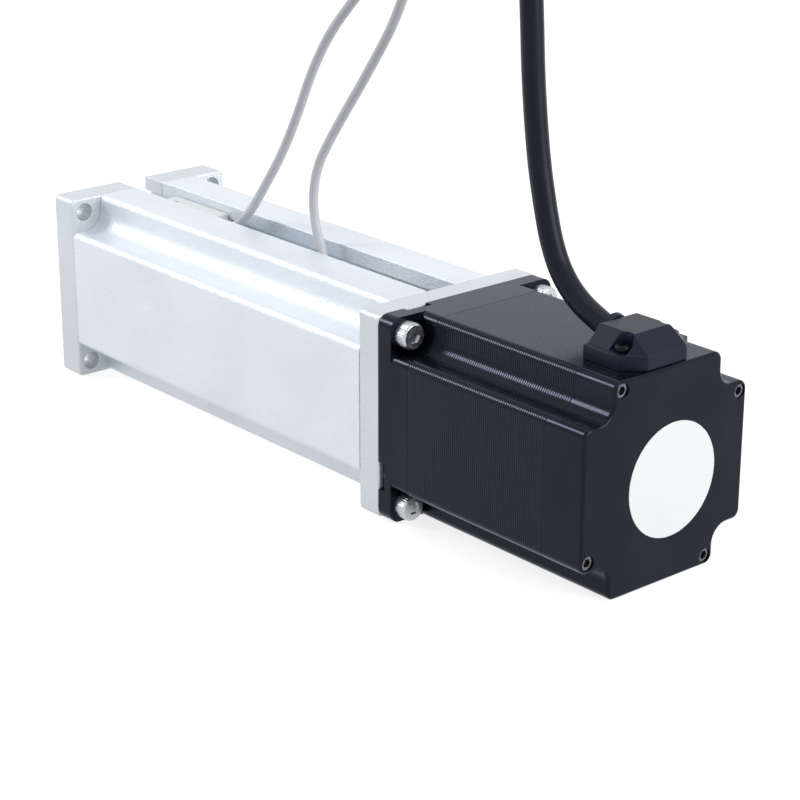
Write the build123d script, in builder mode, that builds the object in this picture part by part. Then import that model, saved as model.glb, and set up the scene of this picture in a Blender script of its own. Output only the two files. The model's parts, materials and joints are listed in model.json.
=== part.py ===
from build123d import *

import os
from math import cos, degrees, pi, radians, sin, sqrt, tan

# Electric cylinder. A stepping motor on the rear plate turns a ball screw, whose nut pushes a hollow rod out of a
# slotted square housing. Everything is in millimetres: +X is the way the rod travels, +Z points out of the sensor
# slot, and the origin is the centre of the front mounting face, on the rod's axis. The rod is shown retracted.

os.makedirs("parts", exist_ok=True)

# Driving sizes: the plates and their bolts
plate_margin = 4.43
front_flange_length = 9.5
rear_plate_length = 8.0
plate_corner = 1.6
edge_break = 0.4
bolt_square = 47.14
front_hole_radius = 2.65

# Driving sizes: the extruded housing
arm_gap = 5.67
notch_radius = 5.6
arm_edge = 2.0
cylinder_radius = 15.0
slot_opening = 9.8
slot_width = 14.0
lip_thickness = 4.3
slot_floor_wall = 2.7
key_width = 5.0
key_depth = 2.2
port_inset = 1.4
port_wall = 0.2845

# Driving sizes: screws, as nominal radii
m4_radius = 2.0
m4_clearance = 0.2
m4_cap_head = (3.5, 4.0)
countersunk_head = 4.0
housing_screw_length = 14.0
motor_screw_length = 10.0
sink_socket = (1.4, 1.5)
cap_socket = (1.75, 2.0)
set_screw_socket = (0.85, 1.5)

# Driving sizes: stroke, rod and ball screw
stroke = 75.0
screw_lead = 5.0
screw_radius = 6.0
screw_front_gap = 12.0
screw_end_chamfer = 1.0
rod_radius = 10.0
rod_bore = 7.0
rod_reach = 6.0
rod_neck_radius = 8.5
rod_plug_length = 15.0
collar_length = 7.0
wrench_flats = 17.0
stud_radius = 5.0
stud_core_radius = 4.2
stud_length = 18.0
jam_nut_flats = 17.0
stud_chamfer = 0.8
jam_nut_length = 5.0
jam_nut_bevel = (0.8, 1.4)

# Driving sizes: carriage, nut, magnet and guides
carriage_land = 1.0
carriage_play = 0.5
neck_depth = 6.0
nut_wall = 0.3
nut_length = 20.0
nut_flange_length = 4.0
guide_width = 4.5
guide_depth = 1.1
guide_gap = 2.0
magnet_width = 4.0
magnet_depth = 1.9
key_length = 6.0
key_seat_depth = 1.2
nut_screw_inset = 2.2
nut_screw_radius = 1.0
nut_screw_head = (1.7, 2.0)
nut_screw_reach = 6.0

# Driving sizes: guides and stops at the two ends
bush_wall = 1.5
bush_length = 18.0
spigot_radius = 16.0
spigot_length = 2.5
inner_spigot_length = 12.5
seal_radius = 14.0
seal_length = 5.0
seal_set_back = 1.0
wiper_lip = (1.2, 1.6, 0.6)
bumper_length = 1.8
bumper_gap = 0.2

# Driving sizes: bearings as bore radius, outer radius and width
screw_bearing = (6.0, 12.0, 6.0)
motor_front_bearing = (4.0, 11.0, 7.0)
motor_rear_bearing = (3.0, 9.5, 6.0)
bearing_ring_share = 0.22
bearing_lip = 1.5
bearing_gap = 0.2
seal_thickness = 0.5
ball_groove_share = 0.6
shoulder_radius = 7.5
shoulder_room = 1.0

# Driving sizes: the motor
motor_margin = 4.63
motor_length = 75.0
motor_flange_length = 5.0
motor_cap_length = 11.5
motor_cover_length = 13.5
motor_arm_gap = 4.97
motor_notch_radius = 4.85
motor_arm_edge = 2.4
motor_corner = 3.2
motor_hole_radius = 2.55
motor_pilot_length = 1.6
pilot_depth = 3.0
motor_shaft_radius = 4.0
motor_shaft_reach = 21.0
winding_depth = 4.5
tie_inset = (2.5, 2.75)
tie_radius = 1.5
tie_head = (1.9, 3.0)
tie_head_depth = 3.5
tie_socket = (1.15, 1.6)
tie_end = 1.0
rim_recess = (7.6, 1.6, 2.4)
rear_rim = 0.9
washer_room = 0.8
washer_width = 1.7
lead_set_back = 2.3
lead_way = (3.4, 8.0, 1.2)
lead_way_depth = 9.4
stator_bore = 14.7
air_gap = 0.2
slot_radius = 22.5
pole_count = 8
pole_width = 7.4
shoe_thickness = 2.4
shoe_gap = 2.4
rotor_teeth = 50
tooth_depth = 0.9
cup_gap = 2.0
cup_end_gap = 2.0
coil_thickness = 3.0
label_centre = (-2.3, -1.4)
label_radius = 15.0
label_thickness = 0.2

# Driving sizes: clamp collar between the screw and the motor shaft
clamp_radius = 10.0
clamp_length = 5.6
clamp_slit = 1.2
clamp_room = 1.0
clamp_socket = (0.75, 2.0)
clamp_screw_offset = 8.0
clamp_screw_radius = 1.3

# Driving sizes: the moulded lead outlet on the motor
outlet_rear_gap = 1.1
outlet_length = 16.6
outlet_half_width = 11.9
outlet_base_height = 3.7
outlet_height = 7.8
outlet_rear_half = 6.6
outlet_corner_length = 4.6
outlet_ledge = 1.5
roof_half_width = 6.3
roof_rear_slope = 5.4
pocket_radius = 2.6
pocket_place = (6.8, 8.3)
pocket_wall = 1.2
outlet_wall = 1.5
outlet_rear_wall = 3.5
gland_tilt = 20.0
gland_lift = 3.1
gland_collar = (4.8, 1.6)
gland_neck = (4.0, 0.8)
lead_hole = 1.8
lead_radius = 0.45
lead_spacing = 1.2
lead_bend = 2.0
outlet_screw = (1.1, 2.0, 1.6)
outlet_screw_length = 8.0
outlet_head_round = 0.6

# Driving sizes: sensors in the slot
sensor_length = 26.0
sensor_shoulder = (13.2, 2.6)
sensor_neck = (9.2, 1.7)
sensor_front_ahead = 19.5
sensor_rear_ahead = 6.5
sensor_stub = (1.8, 2.0)
sensor_screw_radius = 1.5
sensor_screw_set_back = 4.5
sensor_stub_height = 2.0
sensor_nose = 1.9

# Driving sizes: cables
motor_cable_radius = 3.0
sensor_cable_radius = 1.35
core_length = 12.0
motor_core_radius = 0.85
motor_core_circle = 1.5
sensor_core_radius = 0.45
sensor_core_circle = 0.65

# Named clearances
running = 0.05
sliding = 0.1
free = 0.3
seat_gap = 0.05
overcut = 1.0

# Places across the axis, worked out from the bolts
bolt_half = bolt_square / 2
plate_side = bolt_square + 2 * plate_margin
half = plate_side / 2
arm_width = bolt_square - 2 * arm_gap
port_offset = arm_width / 2 - port_inset
slot_floor = cylinder_radius + slot_floor_wall
lip_underside = half - lip_thickness
motor_side = bolt_square + 2 * motor_margin
motor_half = motor_side / 2
motor_arm_width = bolt_square - 2 * motor_arm_gap
motor_pilot_radius = port_offset * sqrt(2) - countersunk_head - port_wall
tie_offset = (motor_half - tie_inset[0], motor_arm_width / 2 - tie_inset[1])
gland_height = motor_half + gland_lift
winding_radius = slot_radius + free

# What runs in the cylinder's bore, worked out from it
carriage_radius = cylinder_radius - carriage_play
nut_screw_circle = carriage_radius - nut_screw_inset
nut_radius = nut_screw_circle - nut_screw_radius - nut_wall
carriage_length = nut_length + neck_depth

# Places along the axis. The housing is as long as the stroke and what travels and stands in it.
bearing_stack = 2 * screw_bearing[2] + bearing_gap + bearing_lip
carriage_stack = carriage_length + nut_flange_length
housing_length = inner_spigot_length + 2 * bumper_length + bumper_gap + stroke + carriage_stack + bearing_stack
housing_front = -front_flange_length
housing_rear = housing_front - housing_length
plate_rear = housing_rear - rear_plate_length
flange_rear = plate_rear - motor_flange_length
stator_front = plate_rear - motor_cap_length
motor_rear = plate_rear - motor_length
stator_rear = motor_rear + motor_cover_length
bearing_rear = housing_rear
bearing_front = bearing_rear + 2 * screw_bearing[2] + bearing_gap
block_front = bearing_front + bearing_lip
sink_depth = countersunk_head - m4_radius - m4_clearance
inner_spigot_end = housing_front - inner_spigot_length
carriage_front = inner_spigot_end - bumper_length - bumper_gap - stroke
carriage_rear = carriage_front - carriage_length
nut_rear = carriage_rear - nut_flange_length
rod_bush_bore = rod_radius + running
bush_outer = rod_bush_bore + bush_wall
shaft_tip = plate_rear + motor_shaft_reach
screw_hub_end = bearing_rear - clamp_length
lead_x = stator_rear - lead_set_back


# Profiles across the axis: local x is +Y and local y is +Z
def motor_cross(x):
    """The crossed square that the motor's cap, laminations and rear cover share."""
    return crossed_square(x, motor_side, motor_arm_width, motor_notch_radius, motor_arm_edge)


def crossed_square(x, side, arm, notch, edge):
    """A square whose four corners are cut back to leave four arms, with a rounded notch for each bolt."""
    outer, inner = side / 2, arm / 2
    with BuildSketch(Plane.YZ.offset(x)) as profile:
        Rectangle(side, side)
        with GridLocations(side, side, 2, 2):
            Rectangle(side - arm, side - arm, mode=Mode.SUBTRACT)
        inside = [v for v in profile.vertices() if max(abs(v.X), abs(v.Y)) < inner + 0.01]
        fillet(inside, notch)
        outside = [v for v in profile.vertices() if max(abs(v.X), abs(v.Y)) > outer - 0.01]
        fillet(outside, edge)
    return profile.sketch


def sensor_slot(x):
    """The T-shaped slot that opens at the top of the housing and runs through the front flange."""
    with BuildSketch(Plane.YZ.offset(x)) as profile:
        with Locations((0, slot_floor)):
            Rectangle(slot_width, lip_underside - slot_floor, align=(Align.CENTER, Align.MIN))
            Rectangle(slot_opening, half - slot_floor + overcut, align=(Align.CENTER, Align.MIN))
    return profile.sketch


def disc(x, outer, inner):
    """A round face across the rod's axis, with a hole where its inner radius isn't nought."""
    with BuildSketch(Plane.YZ.offset(x)) as profile:
        Circle(outer)
        if inner:
            Circle(inner, mode=Mode.SUBTRACT)
    return profile.sketch


def round_bar(x_high, x_low, outer, inner=0.0, mode=Mode.ADD):
    """Adds a round bar or tube on the rod's axis to the piece being made, or cuts it away."""
    extrude(disc(x_high, outer, inner), amount=x_low - x_high, mode=mode)


def rounds_at(x, places, radius):
    """Circles across the axis, one at each place."""
    with BuildSketch(Plane.YZ.offset(x)) as profile:
        with Locations(*places):
            Circle(radius)
    return profile.sketch


def square_of(offset):
    return [(offset, offset), (-offset, offset), (-offset, -offset), (offset, -offset)]


def pinwheel_of(a, b):
    return [(a, -b), (b, a), (-a, b), (-b, -a)]


def save(builder, label):
    builder.part.label = label
    export_step(builder.part, f"parts/{label}.step")


bolts = square_of(bolt_half)
ports = square_of(port_offset)
ties = pinwheel_of(*tie_offset)
outlet_front = motor_rear + outlet_rear_gap + outlet_length
outlet_rear = motor_rear + outlet_rear_gap
outlet_screws_at = [(outlet_rear + pocket_place[0], hand * pocket_place[1]) for hand in (1, -1)]


# Front flange: square plate, centring spigot outside, bush carrier inside, and the slot cut through its top
with BuildPart() as front_flange:
    with BuildSketch(Plane.YZ):
        RectangleRounded(plate_side, plate_side, plate_corner)
    extrude(amount=-front_flange_length)
    rims = front_flange.faces().filter_by(Axis.X).edges()
    chamfer(rims, edge_break)
    round_bar(spigot_length, 0, spigot_radius)
    round_bar(housing_front, inner_spigot_end, cylinder_radius)
    seal_seat = spigot_length - seal_set_back - seal_length
    round_bar(spigot_length, seal_seat, seal_radius, mode=Mode.SUBTRACT)
    round_bar(spigot_length, inner_spigot_end, bush_outer, mode=Mode.SUBTRACT)
    extrude(rounds_at(0, bolts, front_hole_radius), amount=-front_flange_length, mode=Mode.SUBTRACT)
    extrude(rounds_at(0, ports, m4_radius + m4_clearance), amount=-front_flange_length, mode=Mode.SUBTRACT)
    extrude(rounds_at(0, ports, countersunk_head), amount=-sink_depth, taper=45, mode=Mode.SUBTRACT)
    extrude(sensor_slot(0), amount=-front_flange_length, mode=Mode.SUBTRACT)
save(front_flange, "front_flange")


# Housing: one extrusion with four arms, bolt notches, cylinder bore, key groove, screw ports and the sensor slot
with BuildPart() as housing_profile:
    extrude(crossed_square(housing_front, plate_side, arm_width, notch_radius, arm_edge), amount=-housing_length)
    round_bar(housing_front, housing_rear, cylinder_radius, mode=Mode.SUBTRACT)
    with BuildSketch(Plane.YZ.offset(housing_front)):
        with Locations((0, -cylinder_radius - key_depth)):
            Rectangle(key_width + 2 * sliding, cylinder_radius, align=(Align.CENTER, Align.MIN))
    extrude(amount=-housing_length, mode=Mode.SUBTRACT)
    extrude(rounds_at(housing_front, ports, m4_radius), amount=-housing_length, mode=Mode.SUBTRACT)
    extrude(sensor_slot(housing_front), amount=-housing_length, mode=Mode.SUBTRACT)
save(housing_profile, "housing_profile")


# Rear plate: carries the motor pilot, and holds the screw's bearings in the housing
with BuildPart() as rear_plate:
    with BuildSketch(Plane.YZ.offset(housing_rear)):
        RectangleRounded(plate_side, plate_side, plate_corner)
    extrude(amount=-rear_plate_length)
    rims = rear_plate.faces().filter_by(Axis.X).edges()
    chamfer(rims, edge_break)
    round_bar(housing_rear, plate_rear, clamp_radius + clamp_room, mode=Mode.SUBTRACT)
    round_bar(plate_rear + pilot_depth, plate_rear, motor_pilot_radius, mode=Mode.SUBTRACT)
    extrude(rounds_at(plate_rear, bolts, m4_radius), amount=rear_plate_length, mode=Mode.SUBTRACT)
    extrude(rounds_at(plate_rear, ports, m4_radius + m4_clearance), amount=rear_plate_length, mode=Mode.SUBTRACT)
    extrude(rounds_at(plate_rear, ports, countersunk_head), amount=sink_depth, taper=45, mode=Mode.SUBTRACT)
    # Tool hole from below to the clamp collar's screw
    with BuildSketch(Plane.XY.offset(-half)):
        with Locations((housing_rear - clamp_length / 2, clamp_screw_offset)):
            Circle(2 * clamp_screw_radius)
    extrude(amount=half - clamp_radius / 2, mode=Mode.SUBTRACT)
save(rear_plate, "rear_plate")


def countersunk_screws(x, inwards):
    """Four flat-head screws from an outer face at x into the housing's ports."""
    with BuildPart() as group:
        extrude(rounds_at(x, ports, countersunk_head - m4_clearance), amount=inwards * sink_depth, taper=45)
        extrude(rounds_at(x, ports, m4_radius), amount=inwards * housing_screw_length)
        with BuildSketch(Plane.YZ.offset(x)):
            with Locations(*ports):
                RegularPolygon(sink_socket[0], 6)
        extrude(amount=inwards * sink_socket[1], mode=Mode.SUBTRACT)
    return group


save(countersunk_screws(0, -1), "front_flange_screws")
save(countersunk_screws(plate_rear, 1), "rear_plate_screws")


# Rod guide, wiper and the two stops
with BuildPart() as rod_bushing:
    round_bar(inner_spigot_end + bush_length, inner_spigot_end, bush_outer, rod_bush_bore)
save(rod_bushing, "rod_bushing")

with BuildPart() as wiper_seal:
    seal_front = spigot_length - seal_set_back
    back_lip, front_lip, waist = wiper_lip
    with BuildSketch(Plane.XZ):
        with BuildLine():
            Polyline(
                (seal_front - seal_length, rod_bush_bore + back_lip),
                (seal_front - seal_length, seal_radius),
                (seal_front, seal_radius),
                (seal_front, rod_bush_bore + front_lip),
                (seal_front + seal_set_back, rod_bush_bore),
                (seal_front - seal_length / 2, rod_bush_bore + waist),
                close=True,
            )
        make_face()
    revolve(axis=Axis.X)
save(wiper_seal, "wiper_seal")

with BuildPart() as front_bumper:
    round_bar(inner_spigot_end, inner_spigot_end - bumper_length, carriage_radius - free, rod_radius + 2 * free)
save(front_bumper, "front_bumper")

with BuildPart() as bearing_block:
    round_bar(block_front, bearing_rear, cylinder_radius, shoulder_radius + shoulder_room)
    round_bar(bearing_front, bearing_rear, screw_bearing[1], mode=Mode.SUBTRACT)
save(bearing_block, "bearing_block")

with BuildPart() as rear_bumper:
    round_bar(block_front + bumper_length, block_front, carriage_radius - free, shoulder_radius + 2 * shoulder_room)
save(rear_bumper, "rear_bumper")


def bearing_ring(x_high, size, outer_ring):
    """Adds the outer or inner ring of a ball bearing to the piece being made, with its ball groove."""
    bore, outside, width = size
    wall = bearing_ring_share * (outside - bore)
    radii = (outside, outside - wall) if outer_ring else (bore + wall, bore)
    round_bar(x_high, x_high - width, *radii)
    with BuildSketch(Plane.XZ) as groove:
        with Locations((x_high - width / 2, (bore + outside) / 2)):
            Circle((outside - bore) / 2 - ball_groove_share * wall)
    revolve(groove.sketch, axis=Axis.X, mode=Mode.SUBTRACT)


def bearing_seals(x_high, size):
    """Adds the two thin seals that close a bearing between its rings."""
    bore, outside, width = size
    wall = bearing_ring_share * (outside - bore)
    for face in (x_high - free, x_high - width + free + seal_thickness):
        round_bar(face, face - seal_thickness, outside - wall, bore + wall + free)


screw_bearing_places = [(bearing_front, screw_bearing), (bearing_rear + screw_bearing[2], screw_bearing)]
motor_bearing_places = [
    (stator_front + winding_depth + motor_front_bearing[2], motor_front_bearing),
    (stator_rear - winding_depth, motor_rear_bearing),
]

for group, places in (("screw", screw_bearing_places), ("motor", motor_bearing_places)):
    with BuildPart() as outer_rings:
        for place, size in places:
            bearing_ring(place, size, True)
    save(outer_rings, f"{group}_bearing_outer_rings")
    with BuildPart() as inner_rings:
        for place, size in places:
            bearing_ring(place, size, False)
    save(inner_rings, f"{group}_bearing_inner_rings")
    with BuildPart() as seals:
        for place, size in places:
            bearing_seals(place, size)
    save(seals, f"{group}_bearing_seals")


# Ball screw: threaded length, shoulder and a bored, slit hub that takes the motor shaft
screw_tip = inner_spigot_end - screw_front_gap
with BuildPart() as ball_screw:
    round_bar(screw_tip, block_front, screw_radius)
    chamfer(ball_screw.faces().sort_by(Axis.X)[-1].edges(), screw_end_chamfer)
    round_bar(block_front, bearing_front, shoulder_radius)
    round_bar(bearing_front, screw_hub_end, screw_bearing[0])
    round_bar(shaft_tip + free, screw_hub_end, motor_shaft_radius, mode=Mode.SUBTRACT)
    with BuildSketch(Plane.YZ.offset(screw_hub_end)):
        Rectangle(4 * screw_radius, clamp_slit)
    extrude(amount=clamp_length, mode=Mode.SUBTRACT)
save(ball_screw, "ball_screw")

with BuildPart() as clamp_collar:
    round_bar(bearing_rear, screw_hub_end, clamp_radius, screw_bearing[0])
    with BuildSketch(Plane.YZ.offset(bearing_rear)):
        Rectangle(2 * clamp_radius, clamp_slit, align=(Align.MIN, Align.CENTER))
    extrude(amount=-clamp_length, mode=Mode.SUBTRACT)
    with BuildSketch(Plane.XY.offset(-clamp_radius)):
        with Locations((bearing_rear - clamp_length / 2, clamp_screw_offset)):
            Circle(clamp_screw_radius)
    extrude(amount=2 * clamp_radius, mode=Mode.SUBTRACT)
save(clamp_collar, "clamp_collar")

with BuildPart() as clamp_screw:
    reach = sqrt(clamp_radius**2 - (clamp_screw_offset + clamp_screw_radius) ** 2)
    with BuildSketch(Plane.XY.offset(-reach)):
        with Locations((bearing_rear - clamp_length / 2, clamp_screw_offset)):
            Circle(clamp_screw_radius)
    extrude(amount=2 * reach)
    with BuildSketch(Plane.XY.offset(-reach)):
        with Locations((bearing_rear - clamp_length / 2, clamp_screw_offset)):
            RegularPolygon(clamp_socket[0], 6)
    extrude(amount=clamp_socket[1], mode=Mode.SUBTRACT)
save(clamp_screw, "clamp_screw")


# Carriage: the nut sits in its rear, the rod's neck in its front, and rings and key guide it in the bore
guide_front = carriage_front - carriage_land
guide_rear = carriage_rear + guide_width
key_front = guide_front - guide_width - carriage_land
magnet_front = key_front - key_length - carriage_land
guide_groove = carriage_radius - guide_depth
magnet_groove = carriage_radius - magnet_depth
key_base = carriage_radius - key_seat_depth
nut_screws_at = square_of(nut_screw_circle * cos(radians(45)))

with BuildPart() as rod_carriage:
    round_bar(carriage_front, carriage_rear, carriage_radius, rod_neck_radius)
    round_bar(carriage_front - neck_depth, carriage_rear, nut_radius, mode=Mode.SUBTRACT)
    for start in (guide_front, guide_rear):
        round_bar(start, start - guide_width, 2 * carriage_radius, guide_groove, mode=Mode.SUBTRACT)
    round_bar(magnet_front, magnet_front - magnet_width, 2 * carriage_radius, magnet_groove, mode=Mode.SUBTRACT)
    with BuildSketch(Plane.YZ.offset(key_front)):
        with Locations((0, -key_base)):
            Rectangle(key_width, key_base, align=(Align.CENTER, Align.MAX))
    extrude(amount=-key_length, mode=Mode.SUBTRACT)
    extrude(rounds_at(carriage_rear, nut_screws_at, nut_screw_radius), amount=nut_screw_reach, mode=Mode.SUBTRACT)
save(rod_carriage, "rod_carriage")

with BuildPart() as magnet_ring:
    round_bar(magnet_front, magnet_front - magnet_width, carriage_radius, magnet_groove)
save(magnet_ring, "magnet_ring")

with BuildPart() as guide_rings:
    for start in (guide_front, guide_rear):
        round_bar(start, start - guide_width, cylinder_radius - running, guide_groove)
    with BuildSketch(Plane.YZ.offset(carriage_front)):
        Rectangle(guide_gap, 2 * cylinder_radius, align=(Align.CENTER, Align.MIN))
    extrude(amount=-carriage_length, mode=Mode.SUBTRACT)
save(guide_rings, "guide_rings")

with BuildPart() as guide_key:
    with BuildSketch(Plane.YZ.offset(key_front)):
        with Locations((0, -key_base)):
            Rectangle(key_width, cylinder_radius + key_depth - free - key_base, align=(Align.CENTER, Align.MAX))
    extrude(amount=-key_length)
save(guide_key, "guide_key")

with BuildPart() as ball_nut:
    round_bar(carriage_rear + nut_length, carriage_rear, nut_radius)
    round_bar(carriage_rear, nut_rear, carriage_radius)
    round_bar(carriage_rear + nut_length, nut_rear, screw_radius + sliding, mode=Mode.SUBTRACT)
    extrude(rounds_at(nut_rear, nut_screws_at, nut_screw_radius), amount=nut_flange_length, mode=Mode.SUBTRACT)
    extrude(rounds_at(nut_rear, nut_screws_at, nut_screw_head[0]), amount=nut_screw_head[1], mode=Mode.SUBTRACT)
save(ball_nut, "ball_nut")

with BuildPart() as nut_screws:
    extrude(rounds_at(nut_rear, nut_screws_at, nut_screw_radius), amount=nut_flange_length + nut_screw_reach)
    extrude(rounds_at(nut_rear, nut_screws_at, nut_screw_head[0]), amount=nut_screw_head[1])
save(nut_screws, "nut_screws")


# Rod: a tube on a neck, closed by a screwed-in end with wrench flats, stud and jam nut
with BuildPart() as piston_rod:
    round_bar(rod_reach, carriage_front, rod_radius)
    round_bar(carriage_front, carriage_front - neck_depth, rod_neck_radius)
    round_bar(rod_reach, carriage_front - neck_depth, rod_bore, mode=Mode.SUBTRACT)
save(piston_rod, "piston_rod")

collar_front = rod_reach + collar_length
with BuildPart() as rod_end:
    round_bar(rod_reach, rod_reach - rod_plug_length, rod_bore)
    with BuildSketch(Plane.YZ.offset(rod_reach)):
        Circle(rod_radius)
        Rectangle(2 * rod_radius, wrench_flats, mode=Mode.INTERSECT)
    extrude(amount=collar_length)
    round_bar(collar_front + jam_nut_length, collar_front, stud_core_radius)
    round_bar(collar_front + stud_length, collar_front + jam_nut_length, stud_radius)
    chamfer(rod_end.faces().sort_by(Axis.X)[-1].edges(), stud_chamfer)
save(rod_end, "rod_end")

with BuildPart() as jam_nut:
    with BuildSketch(Plane.YZ.offset(collar_front)):
        RegularPolygon(jam_nut_flats / 2, 6, major_radius=False)
        Circle(stud_core_radius, mode=Mode.SUBTRACT)
    extrude(amount=jam_nut_length)
    corner = jam_nut_flats / sqrt(3)
    with BuildSketch(Plane.XZ):
        with BuildLine():
            Polyline(
                (collar_front, 0),
                (collar_front, corner),
                (collar_front + jam_nut_length - jam_nut_bevel[0], corner),
                (collar_front + jam_nut_length, corner - jam_nut_bevel[1]),
                (collar_front + jam_nut_length, 0),
                close=True,
            )
        make_face()
    revolve(axis=Axis.X, mode=Mode.INTERSECT)
save(jam_nut, "jam_nut")


# Motor front cap: square flange with the pilot and bolt holes, a crossed body, and the front bearing's seat
with BuildPart() as motor_front_cap:
    with BuildSketch(Plane.YZ.offset(plate_rear)):
        RectangleRounded(motor_side, motor_side, motor_corner)
    extrude(amount=-motor_flange_length)
    body_length = motor_cap_length - motor_flange_length
    extrude(motor_cross(flange_rear), amount=-body_length)
    round_bar(plate_rear + motor_pilot_length, plate_rear, motor_pilot_radius - seat_gap)
    front_seat = motor_bearing_places[0][0]
    round_bar(stator_front + winding_depth, stator_front, winding_radius, mode=Mode.SUBTRACT)
    round_bar(front_seat, stator_front, motor_front_bearing[1], mode=Mode.SUBTRACT)
    round_bar(plate_rear + motor_pilot_length, stator_front, motor_shaft_radius + 2 * free, mode=Mode.SUBTRACT)
    extrude(rounds_at(plate_rear, bolts, motor_hole_radius), amount=-motor_flange_length, mode=Mode.SUBTRACT)
    extrude(rounds_at(stator_front, ties, tie_radius), amount=motor_cap_length - tie_end, mode=Mode.SUBTRACT)
    # Cast recesses in the flange's rim, where the ends of the tie screws show
    with BuildSketch(Plane.YZ.offset(plate_rear)):
        for turn in range(4):
            with Locations(Location((0, 0, 0), (0, 0, 90 * turn)) * Location((motor_half, -tie_offset[1], 0))):
                Rectangle(2 * rim_recess[1], rim_recess[0])
    extrude(amount=-rim_recess[2], mode=Mode.SUBTRACT)
save(motor_front_cap, "motor_front_cap")


# Stator: crossed laminations with wound poles whose shoes follow the rotor
def pole_profile():
    """One stator pole with its shoe, pointing along local +x, as it is repeated round the bore."""
    with BuildSketch(mode=Mode.PRIVATE) as profile:
        with Locations(((stator_bore + slot_radius) / 2, 0)):
            Rectangle(slot_radius - stator_bore + 2 * overcut, pole_width)
        shoe_angle = 360 / pole_count - degrees(shoe_gap / stator_bore)
        with BuildSketch(mode=Mode.PRIVATE) as shoe:
            Circle(stator_bore + shoe_thickness)
            Circle(stator_bore - overcut, mode=Mode.SUBTRACT)
            side = 2 * stator_bore
            with BuildLine():
                Polyline(
                    (0, 0),
                    (side, side * tan(radians(shoe_angle / 2))),
                    (side, -side * tan(radians(shoe_angle / 2))),
                    close=True,
                )
            make_face(mode=Mode.INTERSECT)
        add(shoe.sketch)
    return profile.sketch


stator_length = stator_front - stator_rear
with BuildPart() as stator_laminations:
    extrude(motor_cross(stator_front), amount=-stator_length)
    with BuildSketch(Plane.YZ.offset(stator_front)):
        Circle(slot_radius)
        with PolarLocations(0, pole_count):
            add(pole_profile(), mode=Mode.SUBTRACT)
        Circle(stator_bore)
    extrude(amount=-stator_length, mode=Mode.SUBTRACT)
    extrude(rounds_at(stator_front, ties, tie_radius + sliding), amount=-stator_length, mode=Mode.SUBTRACT)
save(stator_laminations, "stator_laminations")

# Windings: one flat coil round each pole, standing out of both ends of the laminations
coil_inner = stator_bore + shoe_thickness + free
coil_overhang = coil_thickness + free
coil_outer = sqrt((slot_radius - free) ** 2 - (pole_width / 2 + coil_overhang) ** 2)
with BuildPart() as coil:
    with BuildSketch(Plane.XY.offset(coil_inner)):
        with Locations(((stator_front + stator_rear) / 2, 0)):
            RectangleRounded(stator_length + 2 * coil_overhang, pole_width + 2 * coil_overhang, coil_thickness)
            Rectangle(stator_length + 2 * free, pole_width + 2 * free, mode=Mode.SUBTRACT)
    extrude(amount=coil_outer - coil_inner)

with BuildPart() as stator_windings:
    for turn in range(pole_count):
        add(coil.part.rotate(Axis.X, turn * 360 / pole_count))
save(stator_windings, "stator_windings")


# Motor rear cover: crossed like the laminations, with the rear bearing's seat and recesses for the tie screw heads
with BuildPart() as motor_rear_cover:
    extrude(motor_cross(stator_rear), amount=-motor_cover_length)
    rim = motor_rear_cover.faces().sort_by(Axis.X)[0].edges()
    fillet(rim, rear_rim)
    round_bar(stator_rear, stator_rear - winding_depth, winding_radius, mode=Mode.SUBTRACT)
    rear_seat_end = motor_bearing_places[1][0] - motor_rear_bearing[2] - washer_room
    round_bar(stator_rear, rear_seat_end, motor_rear_bearing[1], mode=Mode.SUBTRACT)
    extrude(rounds_at(stator_rear, ties, tie_radius + sliding), amount=-motor_cover_length, mode=Mode.SUBTRACT)
    extrude(rounds_at(motor_rear, ties, tie_head[0]), amount=tie_head_depth, mode=Mode.SUBTRACT)
    # Way up for the winding leads, below the outlet
    with BuildSketch(Plane.XY.offset(motor_half - lead_way_depth)):
        with Locations((lead_x, 0)):
            RectangleRounded(*lead_way)
    extrude(amount=lead_way_depth, mode=Mode.SUBTRACT)
    with BuildSketch(Plane.XY.offset(motor_half)):
        with Locations(*outlet_screws_at):
            Circle(outlet_screw[0])
    extrude(amount=outlet_base_height - outlet_screw_length, mode=Mode.SUBTRACT)
save(motor_rear_cover, "motor_rear_cover")

with BuildPart() as wave_washer:
    washer_radius = motor_rear_bearing[1] - free
    round_bar(rear_seat_end + washer_room, rear_seat_end, washer_radius, washer_radius - washer_width)
save(wave_washer, "wave_washer")

with BuildPart() as tie_screws:
    head_top = motor_rear + tie_head_depth - tie_head[1]
    head_base = motor_rear + tie_head_depth
    extrude(rounds_at(head_top, ties, tie_head[0] - seat_gap), amount=tie_head[1])
    extrude(rounds_at(head_base, ties, tie_radius), amount=plate_rear - tie_end - head_base)
    with BuildSketch(Plane.YZ.offset(head_top)):
        with Locations(*ties):
            RegularPolygon(tie_socket[0], 6)
    extrude(amount=tie_socket[1], mode=Mode.SUBTRACT)
save(tie_screws, "tie_screws")

with BuildPart() as motor_screws:
    head_radius, head_height = m4_cap_head
    extrude(rounds_at(flange_rear, bolts, head_radius), amount=-head_height)
    chamfer(motor_screws.faces().filter_by(Axis.X).group_by(Axis.X)[0].edges(), edge_break)
    extrude(rounds_at(flange_rear, bolts, m4_radius), amount=motor_screw_length)
    with BuildSketch(Plane.YZ.offset(flange_rear - head_height)):
        with Locations(*bolts):
            RegularPolygon(cap_socket[0], 6)
    extrude(amount=cap_socket[1], mode=Mode.SUBTRACT)
save(motor_screws, "motor_screws")

with BuildPart() as round_label:
    with BuildSketch(Plane.YZ.offset(motor_rear)):
        with Locations(label_centre):
            Circle(label_radius)
    extrude(amount=-label_thickness)
save(round_label, "round_label")


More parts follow.
